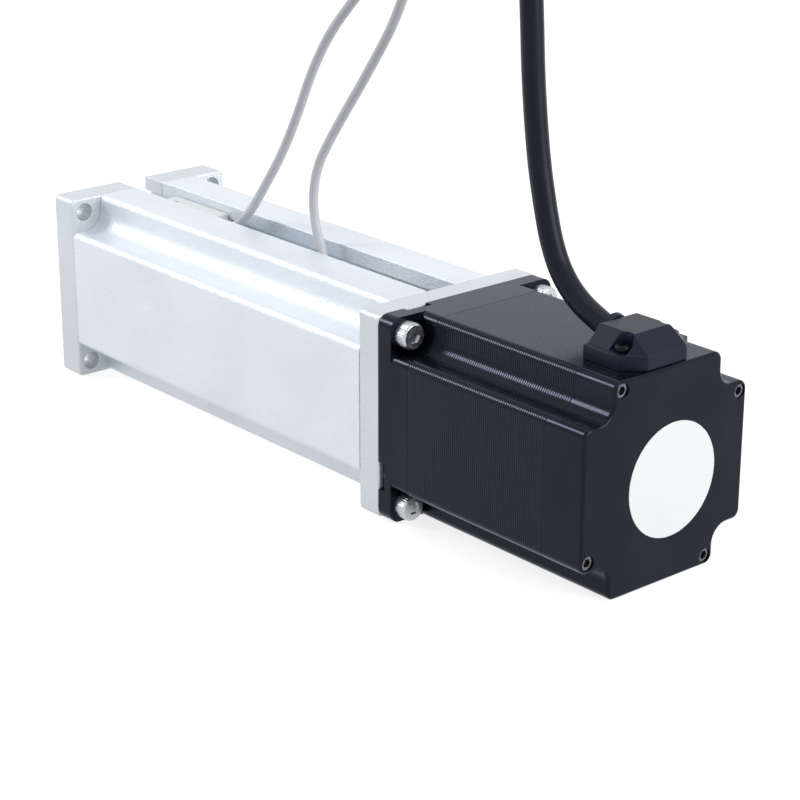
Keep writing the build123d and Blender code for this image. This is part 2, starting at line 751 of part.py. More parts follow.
# Rotor: shaft, two toothed cups half a tooth apart and the magnet between them
rotor_radius = stator_bore - air_gap
cup_length = (stator_length - 2 * cup_end_gap - cup_gap) / 2
tooth_pitch = 360 / rotor_teeth


def toothed_cup(x_high, turn):
    """Adds one of the rotor's toothed cups to the piece being made."""
    with BuildSketch(Plane.YZ.offset(x_high)) as profile:
        Circle(rotor_radius)
        with PolarLocations(rotor_radius, rotor_teeth, start_angle=turn):
            Rectangle(2 * tooth_depth, radians(tooth_pitch) * rotor_radius / 2, mode=Mode.SUBTRACT)
        Circle(motor_shaft_radius, mode=Mode.SUBTRACT)
    extrude(profile.sketch, amount=-cup_length)


rear_cup_front = stator_front - cup_end_gap - cup_length - cup_gap
with BuildPart() as rotor_cups:
    toothed_cup(stator_front - cup_end_gap, 0)
    toothed_cup(rear_cup_front, tooth_pitch / 2)
save(rotor_cups, "rotor_cups")

with BuildPart() as rotor_magnet:
    round_bar(rear_cup_front + cup_gap, rear_cup_front, rotor_radius - 2 * tooth_depth, motor_shaft_radius)
save(rotor_magnet, "rotor_magnet")

with BuildPart() as motor_shaft:
    tail_start = motor_bearing_places[1][0]
    round_bar(shaft_tip, tail_start, motor_shaft_radius)
    chamfer(motor_shaft.faces().sort_by(Axis.X)[-1].edges(), edge_break)
    round_bar(tail_start, tail_start - motor_rear_bearing[2], motor_rear_bearing[0])
save(motor_shaft, "motor_shaft")


# Lead outlet: its roof slopes down to a base with cut corners, with an arched pocket for each screw
corner_x = outlet_rear + outlet_corner_length
base_top = motor_half + outlet_base_height
roof = motor_half + outlet_height
foot_half = outlet_half_width - outlet_ledge
roof_rear = outlet_rear + roof_rear_slope


def outlet_outline(half_width, height):
    """The outlet's plan: straight front, and rear corners cut back to a narrower rear face."""
    with BuildSketch(Plane.XY.offset(height)) as plan:
        with BuildLine():
            Polyline(
                (outlet_front, half_width),
                (corner_x, half_width),
                (outlet_rear, outlet_rear_half),
                (outlet_rear, -outlet_rear_half),
                (corner_x, -half_width),
                (outlet_front, -half_width),
                close=True,
            )
        make_face()
    return plan.sketch


def slope(first, second, third):
    """The plane through three points, for a face of the roof."""
    origin, along, across = Vector(*first), Vector(*second), Vector(*third)
    normal = (along - origin).cross(across - origin)
    if normal.Z < 0:
        normal = -normal
    return Plane(origin=origin, z_dir=normal)


with BuildPart() as lead_outlet:
    extrude(outlet_outline(foot_half, motor_half), amount=outlet_height)
    rear_slope = slope((outlet_rear, 0, base_top), (outlet_rear, 1, base_top), (roof_rear, 0, roof))
    split(bisect_by=rear_slope, keep=Keep.BOTTOM)
    for hand in (1, -1):
        side_foot = (corner_x, hand * foot_half, base_top)
        rear_foot = (outlet_rear, hand * outlet_rear_half, base_top)
        roof_corner = (roof_rear, hand * roof_half_width, roof)
        split(bisect_by=slope(side_foot, (0, hand * foot_half, base_top), roof_corner), keep=Keep.BOTTOM)
        split(bisect_by=slope(side_foot, rear_foot, roof_corner), keep=Keep.BOTTOM)
    extrude(outlet_outline(outlet_half_width, motor_half), amount=outlet_base_height)
    # Screw pockets: round at the inner end, open outwards
    with BuildSketch(Plane.XY.offset(base_top)):
        for hand in (1, -1):
            with Locations((outlet_rear + pocket_place[0], hand * pocket_place[1])):
                Circle(pocket_radius)
            with Locations((outlet_rear + pocket_place[0], hand * (pocket_place[1] + pocket_radius))):
                Rectangle(2 * pocket_radius, 2 * pocket_radius)
    extrude(amount=outlet_height, mode=Mode.SUBTRACT)
    # Hollow for the lead joints, and the gland's hole in the front wall
    with BuildSketch(Plane.XY.offset(motor_half)):
        with Locations((outlet_front - outlet_wall, 0)):
            hollow_width = 2 * (pocket_place[1] - pocket_radius - pocket_wall)
            Rectangle(outlet_length - outlet_wall - outlet_rear_wall, hollow_width, align=(Align.MAX, Align.CENTER))
    extrude(amount=outlet_height - outlet_wall, mode=Mode.SUBTRACT)
    extrude(rounds_at(outlet_front, [(0, gland_height)], lead_hole), amount=-2 * outlet_wall, mode=Mode.SUBTRACT)
    with BuildSketch(Plane.XY.offset(motor_half)):
        with Locations(*outlet_screws_at):
            Circle(outlet_screw[0])
    extrude(amount=outlet_base_height, mode=Mode.SUBTRACT)
save(lead_outlet, "lead_outlet")

with BuildPart() as outlet_screws:
    shank, head, head_height = outlet_screw
    with BuildSketch(Plane.XY.offset(base_top)):
        with Locations(*outlet_screws_at):
            Circle(head)
    extrude(amount=head_height)
    fillet(outlet_screws.faces().sort_by(Axis.Z)[-2:].edges(), outlet_head_round)
    with BuildSketch(Plane.XY.offset(base_top)):
        with Locations(*outlet_screws_at):
            Circle(shank)
    extrude(amount=-outlet_screw_length)
save(outlet_screws, "outlet_screws")

# Cable gland: a collar on a neck, tilted up the way the cable leaves, flat where it meets the wall and the motor
lean = Vector(cos(radians(gland_tilt)), 0, sin(radians(gland_tilt)))
gland_rise = sin(radians(gland_tilt)) * motor_cable_radius
cable_start = Vector(outlet_front + gland_rise, 0, gland_height + gland_rise * tan(radians(gland_tilt)))
cable_plane = Plane(origin=cable_start, x_dir=(0, 1, 0), z_dir=lean)
with BuildPart() as cable_gland:
    with BuildSketch(cable_plane.offset(-gland_neck[0])):
        Circle(gland_neck[0])
    extrude(amount=gland_neck[0] + gland_neck[1] + gland_collar[1])
    with BuildSketch(cable_plane.offset(gland_neck[1])):
        Circle(gland_collar[0])
    extrude(amount=gland_collar[1])
    with BuildSketch(cable_plane):
        Circle(motor_cable_radius)
    extrude(amount=2 * gland_collar[0], mode=Mode.SUBTRACT)
    with BuildSketch(cable_plane):
        Circle(lead_hole)
    extrude(amount=-2 * gland_neck[0], mode=Mode.SUBTRACT)
    split(bisect_by=Plane.YZ.offset(outlet_front), keep=Keep.TOP)
    split(bisect_by=Plane.XY.offset(motor_half), keep=Keep.TOP)
save(cable_gland, "cable_gland")

# Winding leads: up from the end of the top coil, and forward to the gland
with BuildPart() as motor_leads:
    for side in (-lead_spacing / 2, lead_spacing / 2):
        for outer_lead in (-lead_spacing / 2, lead_spacing / 2):
            with BuildLine() as route:
                FilletPolyline(
                    (lead_x - outer_lead, side, coil_outer),
                    (lead_x - outer_lead, side, gland_height + outer_lead),
                    (outlet_front, side, gland_height + outer_lead),
                    radius=lead_bend + outer_lead,
                )
            with BuildSketch(Plane(origin=route.line @ 0, z_dir=route.line % 0)):
                Circle(lead_radius)
            sweep(path=route.line)
save(motor_leads, "motor_leads")


# Sensors: T-shaped bodies in the slot, each with a stub for its cable and a set screw
def sensor(start, base, cable_end):
    """A sensor body from start back, with its cable stub at cable_end: 1 for the front end, -1 for the rear."""
    shoulder_width, shoulder_height = sensor_shoulder
    neck_width, neck_height = sensor_neck
    nose = start - sensor_length if cable_end > 0 else start
    with BuildPart() as body:
        shoulder, neck = (shoulder_width, shoulder_height, 0), (neck_width, neck_height, shoulder_height)
        for width, height, rise in (shoulder, neck):
            with BuildSketch(Plane.XY.offset(base + rise)) as outline:
                with Locations((start - sensor_length / 2, 0)):
                    Rectangle(sensor_length, width)
                fillet([v for v in outline.vertices() if abs(v.X - nose) < 0.01], sensor_nose)
            extrude(amount=height)
        stub_start = start if cable_end > 0 else start - sensor_length
        stub_radius, stub_length = sensor_stub
        with BuildSketch(Plane.YZ.offset(stub_start)):
            with Locations((0, base + sensor_stub_height)):
                Circle(stub_radius)
        extrude(amount=cable_end * stub_length)
        with BuildSketch(Plane.XY.offset(base)):
            with Locations((nose + cable_end * sensor_screw_set_back, 0)):
                Circle(sensor_screw_radius)
        extrude(amount=shoulder_height + neck_height, mode=Mode.SUBTRACT)
    return body


clamped_base = lip_underside - sensor_shoulder[1]
sensor_front_x = magnet_front + stroke + sensor_front_ahead
sensor_rear_x = magnet_front + sensor_rear_ahead
sensor_height = sensor_shoulder[1] + sensor_neck[1]
save(sensor(sensor_front_x, clamped_base, -1), "sensor_front")
save(sensor(sensor_rear_x, slot_floor, 1), "sensor_rear")

with BuildPart() as sensor_screws:
    front_screw_x = sensor_front_x - sensor_screw_set_back
    rear_screw_x = sensor_rear_x - sensor_length + sensor_screw_set_back
    for screw_x, base in ((front_screw_x, clamped_base), (rear_screw_x, slot_floor)):
        length = base + sensor_height - free - slot_floor
        with BuildSketch(Plane.XY.offset(slot_floor)):
            with Locations((screw_x, 0)):
                Circle(sensor_screw_radius)
        extrude(amount=length)
        with BuildSketch(Plane.XY.offset(slot_floor + length)):
            with Locations((screw_x, 0)):
                RegularPolygon(set_screw_socket[0], 6)
        extrude(amount=-set_screw_socket[1], mode=Mode.SUBTRACT)
save(sensor_screws, "sensor_screws")


# Cables, as straight runs joined by tangent arcs. Each rises out of the top, held up by what lies above.
def corner_radii(route):
    """The arc at each corner: 0.45 of its shorter run over the tangent of half the turn."""
    radii = []
    for before, corner, after in zip(route, route[1:], route[2:]):
        first, second = Vector(*corner) - Vector(*before), Vector(*after) - Vector(*corner)
        half_turn = radians(first.get_angle(second)) / 2
        radii.append(0.45 * min(first.length, second.length) / tan(half_turn))
    return radii


def cable(route, radius, label):
    """A round cable along a route, saved under its label, with its arcs and volume printed."""
    radii = corner_radii(route)
    with BuildPart() as jacket:
        with BuildLine() as path:
            FilletPolyline(*route, radius=radii)
        with BuildSketch(Plane(origin=path.line @ 0, z_dir=path.line % 0)):
            Circle(radius)
        sweep(path=path.line)
    save(jacket, label)
    length = path.wire().length
    drawn = jacket.part.volume / (pi * radius**2 * length)
    print(label, f"length {length:.1f} mm, volume ratio {drawn:.4f}, arcs", [round(r, 1) for r in radii])


def cable_cores(route, count, radius, circle, label):
    """The bared cores that stand out of a cable's cut end."""
    direction = Vector(*route[-1]) - Vector(*route[-2])
    with BuildPart() as cores:
        with BuildSketch(Plane(origin=route[-1], x_dir=(0, 1, 0), z_dir=direction)):
            with PolarLocations(circle, count):
                Circle(radius)
        extrude(amount=core_length)
    save(cores, label)


motor_cable_route = [(cable_start.X, 0, cable_start.Z)] + [
    (-202.2, 0, 34.1),
    (-195.4, 0, 37.3),
    (-189.8, 0, 42.5),
    (-186.0, 0, 49.5),
    (-183.5, 0, 58.0),
    (-181.0, 0, 68.5),
    (-179.3, 0, 80.0),
    (-178.0, 0, 92.0),
    (-177.3, 0, 104.0),
    (-176.4, 0, 115.0),
]
front_stub_end = sensor_front_x - sensor_length - sensor_stub[1]
front_sensor_route = [(front_stub_end, 0, clamped_base + sensor_stub_height)] + [
    (-52.3, 0, 23.1),
    (-60.9, 0, 30.1),
    (-68.5, 0, 39.8),
    (-76.8, 0, 50.8),
    (-84.2, 0, 63.5),
    (-90.6, 0, 76.5),
    (-98.5, 0, 88.3),
    (-108.6, 0, 98.6),
    (-117.8, 0, 107.4),
]
rear_sensor_route = [(sensor_rear_x + sensor_stub[1], 0, slot_floor + sensor_stub_height)] + [
    (-101.0, 0, 19.7),
    (-98.1, 0, 20.8),
    (-95.7, 0, 23.3),
    (-93.9, 0, 27.3),
    (-91.4, 0, 34.0),
    (-90.6, 0, 41.5),
    (-92.6, 0, 50.2),
    (-97.6, 0, 58.0),
    (-105.0, 0, 67.8),
    (-111.9, 0, 76.6),
    (-118.6, 0, 85.6),
    (-124.8, 0, 94.2),
    (-130.2, 0, 104.4),
    (-134.8, 0, 113.9),
]
cable(motor_cable_route, motor_cable_radius, "motor_cable")
cable(front_sensor_route, sensor_cable_radius, "sensor_cable_front")
cable(rear_sensor_route, sensor_cable_radius, "sensor_cable_rear")
cable_cores(motor_cable_route, 4, motor_core_radius, motor_core_circle, "motor_cable_cores")
cable_cores(front_sensor_route, 3, sensor_core_radius, sensor_core_circle, "sensor_cores_front")
cable_cores(rear_sensor_route, 3, sensor_core_radius, sensor_core_circle, "sensor_cores_rear")
print(f"The screw turns {stroke / screw_lead:.1f} times while the rod moves {stroke:.0f} mm")
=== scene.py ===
"""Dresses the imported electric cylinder: rounded edges, finishes, knurls, thread, cables, stage."""

import json
from math import cos, pi, radians, sin, sqrt

import bpy
from bpy.props import FloatProperty, FloatVectorProperty, IntProperty, PointerProperty
from mathutils import Matrix, Vector

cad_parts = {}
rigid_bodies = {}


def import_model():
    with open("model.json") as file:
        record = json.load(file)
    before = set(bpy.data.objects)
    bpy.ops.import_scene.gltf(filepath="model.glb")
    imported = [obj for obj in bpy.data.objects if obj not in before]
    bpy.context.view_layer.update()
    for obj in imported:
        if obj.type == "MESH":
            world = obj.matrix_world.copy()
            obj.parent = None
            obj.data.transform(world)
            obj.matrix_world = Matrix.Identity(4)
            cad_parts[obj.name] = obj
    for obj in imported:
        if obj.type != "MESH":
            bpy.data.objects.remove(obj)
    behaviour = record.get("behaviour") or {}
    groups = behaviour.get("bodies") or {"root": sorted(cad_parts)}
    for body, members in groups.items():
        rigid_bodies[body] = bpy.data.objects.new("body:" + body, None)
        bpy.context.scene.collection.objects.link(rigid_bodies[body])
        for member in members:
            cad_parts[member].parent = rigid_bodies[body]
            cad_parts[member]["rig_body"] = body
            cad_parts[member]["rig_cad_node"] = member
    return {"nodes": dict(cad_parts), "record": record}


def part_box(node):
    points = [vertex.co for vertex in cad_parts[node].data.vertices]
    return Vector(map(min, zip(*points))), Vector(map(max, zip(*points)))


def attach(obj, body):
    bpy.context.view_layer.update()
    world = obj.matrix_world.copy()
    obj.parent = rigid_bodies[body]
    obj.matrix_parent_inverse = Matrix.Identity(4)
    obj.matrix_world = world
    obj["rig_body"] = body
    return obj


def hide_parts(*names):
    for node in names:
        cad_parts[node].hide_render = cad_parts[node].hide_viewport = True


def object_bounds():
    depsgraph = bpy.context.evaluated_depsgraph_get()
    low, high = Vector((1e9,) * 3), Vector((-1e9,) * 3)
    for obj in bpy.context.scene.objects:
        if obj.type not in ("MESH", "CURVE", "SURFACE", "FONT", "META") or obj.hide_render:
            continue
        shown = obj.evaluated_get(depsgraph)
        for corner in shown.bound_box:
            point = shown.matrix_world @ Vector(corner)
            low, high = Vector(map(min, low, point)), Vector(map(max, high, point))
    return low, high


bl_info = {
    "name": "Electric Cylinder",
    "version": (1, 0, 0),
    "blender": (4, 5, 0),
    "location": "View3D > Sidebar > Cylinder",
    "description": "Finishes and fine pieces for an electric cylinder with a stepping motor",
    "category": "Add Mesh",
}

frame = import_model()
cad_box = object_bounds()

MM = 0.001
QUARTER_TURN = radians(90)

# The bodies of the frame that finished pieces ride on
FIXED = "cylinder_body"
ROD = "push_rod"

# Edges sharper than the first angle are rounded, and edges flatter than the second are smooth
ROUNDED_ABOVE = radians(38)
SMOOTH_BELOW = radians(34)
ROUNDING_STEPS = 3

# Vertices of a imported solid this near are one, and triangles this flat are one face
SAME_PLACE = 0.002 * MM
FLAT_WITHIN = radians(0.5)

# The values that noise seldom goes past
NOISE_LOW, NOISE_HIGH = 0.3, 0.7

# How much dark plastic and coats reflect face on, which is less than usual
LOW_GLOSS = 0.2

# The tints that dark plastic and the motor's coat give to what they reflect
BLUE_SHEEN = (0.7, 0.78, 1.0)
COAT_SHEEN = (0.88, 0.93, 1.0)

# The cables' routes, as x and z in millimetres, from where each leaves its gland or sensor
MOTOR_CABLE_ROUTE = [
    (-208.83, 31.67),
    (-202.2, 34.1),
    (-195.4, 37.3),
    (-189.8, 42.5),
    (-186.0, 49.5),
    (-183.5, 58.0),
    (-181.0, 68.5),
    (-179.3, 80.0),
    (-178.0, 92.0),
    (-177.3, 104.0),
    (-176.4, 115.0),
]
FRONT_SENSOR_ROUTE = [
    (-46.0, 23.1),
    (-52.3, 23.1),
    (-60.9, 30.1),
    (-68.5, 39.8),
    (-76.8, 50.8),
    (-84.2, 63.5),
    (-90.6, 76.5),
    (-98.5, 88.3),
    (-108.6, 98.6),
    (-117.8, 107.4),
]
REAR_SENSOR_ROUTE = [
    (-104.0, 19.7),
    (-101.0, 19.7),
    (-98.1, 20.8),
    (-95.7, 23.3),
    (-93.9, 27.3),
    (-91.4, 34.0),
    (-90.6, 41.5),
    (-92.6, 50.2),
    (-97.6, 58.0),
    (-105.0, 67.8),
    (-111.9, 76.6),
    (-118.6, 85.6),
    (-124.8, 94.2),
    (-130.2, 104.4),
    (-134.8, 113.9),
]


def colour(name, description, default):
    return FloatVectorProperty(
        name=name, description=description, subtype="COLOR", size=3, min=0, max=1, default=default)


def length(name, description, default):
    return FloatProperty(
        name=name, description=description, unit="LENGTH", min=0, precision=5, default=default)


class CylinderSizes(bpy.types.PropertyGroup):
    """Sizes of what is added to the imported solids."""

    plate_edge: length("Plate edge", "Rounding on the edges of the two plates", 0.3 * MM)
    profile_edge: length(
        "Housing edge", "Rounding on the sawn ends and slot lips of the housing", 0.22 * MM)
    motor_edge: length("Motor edge", "Rounding on the edges of the motor's castings", 0.1 * MM)
    lamination_edge: length(
        "Lamination edge", "Rounding on the corners of the laminations", 0.08 * MM)
    label_edge: length("Label edge", "Rounding on the rim of the label", 0.05 * MM)
    moulded_edge: length("Moulded edge", "Rounding on the lead outlet's edges", 0.22 * MM)
    gland_edge: length("Gland edge", "Rounding on the cable gland", 0.25 * MM)
    sensor_edge: length("Sensor edge", "Rounding on the sensors' edges", 0.2 * MM)
    screw_edge: length("Screw edge", "Rounding on the screws, nut and rod", 0.1 * MM)
    small_screw_edge: length(
        "Small screw edge", "Rounding on the outlet's and sensors' screws", 0.05 * MM)
    wiper_edge: length("Wiper edge", "Rounding on the wiper", 0.1 * MM)
    knurl_height: length(
        "Knurl height", "How far the knurl stands out of a screw head", 0.08 * MM)
    knurl_length: length("Knurl length", "Length of the knurled band", 3.0 * MM)
    knurl_teeth: IntProperty(
        name="Knurl teeth", description="Ridges round one screw head", min=12, max=60, default=36)
    thread_pitch: length("Thread pitch", "Pitch of the thread on the rod's stud", 1.25 * MM)
    thread_depth: length("Thread depth", "Depth of the thread on the rod's stud", 0.75 * MM)
    sheet_thickness: length("Sheet thickness", "Thickness of one lamination", 0.75 * MM)
    core_bare: length("Bare core", "Length of bare wire at the end of each core", 4.0 * MM)


class CylinderColours(bpy.types.PropertyGroup):
    """Colours of the finishes, as linear values."""

    anodised: colour("Anodised housing", "Extruded housing", (0.785, 0.835, 0.89))
    anodised_plates: colour("Anodised plates", "Machined end plates", (0.68, 0.72, 0.75))
    motor_coat: colour("Motor coat", "Motor's front cap and rear cover", (0.013, 0.0155, 0.0235))
    laminations: colour("Laminations", "Coated stack of sheets", (0.0125, 0.015, 0.0215))
    outlet: colour("Lead outlet", "Plastic of the lead outlet", (0.0085, 0.012, 0.0235))
    label: colour("Label", "Blank round label", (0.88, 0.91, 0.91))
    sensor: colour("Sensors", "Moulded plastic of the sensors", (0.74, 0.75, 0.73))
    motor_jacket: colour("Motor cable", "Jacket of the motor cable", (0.008, 0.0095, 0.015))
    sensor_jacket: colour("Sensor cables", "Jacket of the sensor cables", (0.6, 0.605, 0.62))
    steel: colour("Bright steel", "Screws, nut and rod end", (0.56, 0.57, 0.6))
    # Blackened steel made darker still, as painted shade for the deep pocket of the lead outlet that
    # these screws sit in
    tie_screws: colour("Grey screws", "Tie screws of the motor", (0.16, 0.16, 0.18))
    outlet_screws: colour("Black screws with painted shade", "Screws of the lead outlet", (0.014, 0.015, 0.018))
    chrome: colour("Hard chrome", "Piston rod", (0.66, 0.67, 0.69))
    rubber: colour("Rubber", "Wiper and seals", (0.02, 0.02, 0.022))


def sizes():
    return bpy.context.scene.cylinder_sizes


def colours():
    return bpy.context.scene.cylinder_colours


def mount_size(mount, size):
    """A size of one of the record's mounts, in metres."""
    stated = next(each for each in frame["record"]["mounts"] if each["name"] == mount)
    return stated["dims"][size] * MM


# Selecting and shaping


def deselect_all():
    bpy.ops.object.select_all(action="DESELECT")


def select_only(*objects):
    """Selects these objects and makes the last of them the active one."""
    deselect_all()
    for each in objects:
        each.select_set(True)
    bpy.context.view_layer.objects.active = objects[-1]


def apply_place(piece):
    """Puts a piece's place and turn into its mesh."""
    select_only(piece)
    bpy.ops.object.transform_apply(location=True, rotation=True, scale=True)


def apply_modifiers(piece):
    select_only(piece)
    for modifier in list(piece.modifiers):
        bpy.ops.object.modifier_apply(modifier=modifier.name)


def smooth_shading(piece):
    select_only(piece)
    bpy.ops.object.shade_smooth_by_angle(angle=SMOOTH_BELOW)


def round_edges(piece, width):
    """Rounds a piece's sharp edges, and shades its flat faces as flat."""
    bevel = piece.modifiers.new("Rounded edges", "BEVEL")
    bevel.width = width
    bevel.segments = ROUNDING_STEPS
    bevel.limit_method = "ANGLE"
    bevel.angle_limit = ROUNDED_ABOVE
    bevel.use_clamp_overlap = False
    apply_modifiers(piece)
    smooth_shading(piece)
    weighted = piece.modifiers.new("Flat faces", "WEIGHTED_NORMAL")
    weighted.keep_sharp = True
    apply_modifiers(piece)


def merged_copy(node, name):
    """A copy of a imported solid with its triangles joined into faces."""
    piece = frame["nodes"][node].copy()
    piece.data = piece.data.copy()
    bpy.context.collection.objects.link(piece)
    piece.parent = None
    piece.matrix_world = Matrix.Identity(4)
    piece.name = name
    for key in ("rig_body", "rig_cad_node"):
        if key in piece:
            del piece[key]
    select_only(piece)
    if piece.data.has_custom_normals:
        bpy.ops.mesh.customdata_custom_splitnormals_clear()
    bpy.ops.object.mode_set(mode="EDIT")
    bpy.ops.mesh.select_all(action="SELECT")
    bpy.ops.mesh.remove_doubles(threshold=SAME_PLACE)
    bpy.ops.mesh.dissolve_limited(angle_limit=FLAT_WITHIN)
    bpy.ops.object.mode_set(mode="OBJECT")
    return piece


def dress(piece, material, slot, body, *nodes):
    """Gives a finished piece its material and body, and hides the nodes that it stands for. The slot
    is not used.
    """
    piece.data.materials.clear()
    piece.data.materials.append(material)
    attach(piece, body)
    if nodes:
        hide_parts(*nodes)


def soften(node, width, material, slot, body=FIXED):
    """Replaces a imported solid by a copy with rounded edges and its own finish."""
    piece = merged_copy(node, f"{node}_finished")
    round_edges(piece, width)
    dress(piece, material, slot, body, node)


def edit_where(piece, test):
    """Goes into edit mode with only those vertices selected whose place passes the test."""
    select_only(piece)
    mesh = piece.data
    for vertex in mesh.vertices:
        vertex.select = test(vertex.co)
    for part in (*mesh.edges, *mesh.polygons):
        part.select = all(mesh.vertices[i].select for i in part.vertices)
    bpy.ops.object.mode_set(mode="EDIT")


# Finishes


def new_finish(name, base, metallic, roughness=0.5, gloss=0.5, sheen=(1, 1, 1)):
    """A material, its node tree and its shader. A low gloss reflects less face on."""
    material = bpy.data.materials.new(name)
    material.use_nodes = True
    tree = material.node_tree
    shader = tree.nodes["Principled BSDF"]
    shader.inputs["Base Color"].default_value = (*base, 1)
    shader.inputs["Metallic"].default_value = metallic
    shader.inputs["Roughness"].default_value = roughness
    shader.inputs["Specular IOR Level"].default_value = gloss
    shader.inputs["Specular Tint"].default_value = (*sheen, 1)
    return material, tree, shader


def even(count):
    """The same number of patches to the metre along every axis."""
    return (count, count, count)


def noise(tree, patches, detail=2.0):
    """Noise on Object coordinates, with its own number of patches to the metre along each axis."""
    place = tree.nodes.new("ShaderNodeTexCoord")
    mapping = tree.nodes.new("ShaderNodeMapping")
    mapping.inputs["Scale"].default_value = patches
    texture = tree.nodes.new("ShaderNodeTexNoise")
    texture.inputs["Scale"].default_value = 1.0
    texture.inputs["Detail"].default_value = detail
    tree.links.new(place.outputs["Object"], mapping.inputs["Vector"])
    tree.links.new(mapping.outputs["Vector"], texture.inputs["Vector"])
    return texture.outputs["Fac"]


def arithmetic(tree, operation, first, second=None):
    """One step of arithmetic on an output, and on a number or an output where it takes two."""
    step = tree.nodes.new("ShaderNodeMath")
    step.operation = operation
    tree.links.new(first, step.inputs[0])
    if isinstance(second, bpy.types.NodeSocket):
        tree.links.new(second, step.inputs[1])
    elif second is not None:
        step.inputs[1].default_value = second
    return step.outputs["Value"]


def between(tree, source, low, high):
    """The source, over the values that noise takes, as a value from low to high."""
    spread = tree.nodes.new("ShaderNodeMapRange")
    spread.inputs["From Min"].default_value = NOISE_LOW
    spread.inputs["From Max"].default_value = NOISE_HIGH
    spread.inputs["To Min"].default_value = low
    spread.inputs["To Max"].default_value = high
    tree.links.new(source, spread.inputs["Value"])
    return spread.outputs["Result"]


def vary_roughness(tree, shader, source, low, high):
    """Lets a shader's roughness go from low to high with the source."""
    tree.links.new(between(tree, source, low, high), shader.inputs["Roughness"])


def vary_colour(tree, shader, source, base, low, high):
    """Lets a shader's colour go from low to high times the base with the source."""
    mix = tree.nodes.new("ShaderNodeMix")
    mix.data_type = "RGBA"
    factors = {"A": low, "B": high}
    for socket in mix.inputs:
        if socket.type == "RGBA":
            shade = [min(1.0, channel * factors[socket.name]) for channel in base]
            socket.default_value = (*shade, 1)
    tree.links.new(between(tree, source, 0.0, 1.0), mix.inputs["Factor"])
    mixed = next(out for out in mix.outputs if out.type == "RGBA")
    tree.links.new(mixed, shader.inputs["Base Color"])


def relief(tree, shader, height, depth, strength=1.0):
    """Adds fine relief of a depth in metres to a shader, over any that it has."""
    bump = tree.nodes.new("ShaderNodeBump")
    bump.inputs["Strength"].default_value = strength
    bump.inputs["Distance"].default_value = depth
    tree.links.new(height, bump.inputs["Height"])
    earlier = shader.inputs["Normal"].links
    if earlier:
        tree.links.new(earlier[0].from_socket, bump.inputs["Normal"])
    tree.links.new(bump.outputs["Normal"], shader.inputs["Normal"])


def anodised_finish(name, base, grain):
    """Clear anodised aluminium: a matt metal with a fine grain, and slow changes of tone."""
    material, tree, shader = new_finish(name, base, metallic=0.5)
    shader.inputs["Coat Weight"].default_value = 0.2
    shader.inputs["Coat Roughness"].default_value = 0.28
    cloud = noise(tree, even(45))
    vary_colour(tree, shader, cloud, base, low=0.96, high=1.03)
    blasted = noise(tree, grain, detail=3.0)
    vary_roughness(tree, shader, blasted, low=0.4, high=0.52)
    relief(tree, shader, blasted, depth=0.2 * MM)
    return material


def coated_finish(name, base, roughness):
    """Dark satin coat on cast metal, with the slight orange peel of a sprayed coat."""
    material, tree, shader = new_finish(
        name, base, metallic=0.7, gloss=LOW_GLOSS, sheen=COAT_SHEEN)
    peel = noise(tree, even(900), detail=3.0)
    cloud = noise(tree, even(60))
    vary_colour(tree, shader, cloud, base, low=0.85, high=1.2)
    vary_roughness(tree, shader, peel, low=roughness - 0.04, high=roughness + 0.05)
    relief(tree, shader, peel, depth=0.006 * MM, strength=0.5)
    return material


def lamination_finish():
    """Coated sheet edges: each stands out by its own amount, with a dark line at each joint."""
    base = colours().laminations
    material, tree, shader = new_finish(
        "Laminations", base, metallic=0.75, gloss=LOW_GLOSS, sheen=COAT_SHEEN)
    place = tree.nodes.new("ShaderNodeTexCoord")
    apart = tree.nodes.new("ShaderNodeSeparateXYZ")
    tree.links.new(place.outputs["Object"], apart.inputs["Vector"])
    sheets = arithmetic(tree, "DIVIDE", apart.outputs["X"], sizes().sheet_thickness)
    own = tree.nodes.new("ShaderNodeTexWhiteNoise")
    own.noise_dimensions = "1D"
    tree.links.new(arithmetic(tree, "FLOOR", sheets), own.inputs["W"])
    # The groove goes from 0 at a joint to 1 where a sheet is level, 0.3 of a sheet further on
    from_joint = arithmetic(tree, "PINGPONG", arithmetic(tree, "FRACT", sheets), 0.5)
    groove = tree.nodes.new("ShaderNodeMapRange")
    groove.inputs["From Max"].default_value = 0.3
    tree.links.new(from_joint, groove.inputs["Value"])
    burr = noise(tree, (2000, 1400, 1400), detail=3.0)
    relief(tree, shader, groove.outputs["Result"], depth=0.03 * MM, strength=0.6)
    relief(tree, shader, own.outputs["Value"], depth=0.003 * MM, strength=0.5)
    relief(tree, shader, burr, depth=0.015 * MM, strength=0.6)
    # Rough and dark in the joints, smoother and lighter on the sheets
    vary_roughness(tree, shader, groove.outputs["Result"], low=0.42, high=0.16)
    vary_colour(tree, shader, groove.outputs["Result"], base, low=0.2, high=1.5)
    return material


def moulded_finish(name, base, roughness):
    """Moulded plastic with a fine, even grain."""
    material, tree, shader = new_finish(
        name, base, metallic=0.0, gloss=LOW_GLOSS, sheen=BLUE_SHEEN)
    skin = noise(tree, even(1400))
    cloud = noise(tree, even(90))
    vary_colour(tree, shader, cloud, base, low=0.93, high=1.06)
    vary_roughness(tree, shader, skin, low=roughness - 0.05, high=roughness + 0.06)
    relief(tree, shader, skin, depth=0.012 * MM, strength=0.5)
    return material


def metal_finish(name, base, roughness, grain, depth=0.003 * MM):
    """Machined metal, with tool marks that run the way the grain is stretched."""
    material, tree, shader = new_finish(name, base, metallic=1.0)
    marks = noise(tree, grain, detail=3.0)
    vary_roughness(tree, shader, marks, low=roughness * 0.8, high=roughness * 1.3)
    vary_colour(tree, shader, marks, base, low=0.9, high=1.08)
    relief(tree, shader, marks, depth, strength=0.5)
    return material


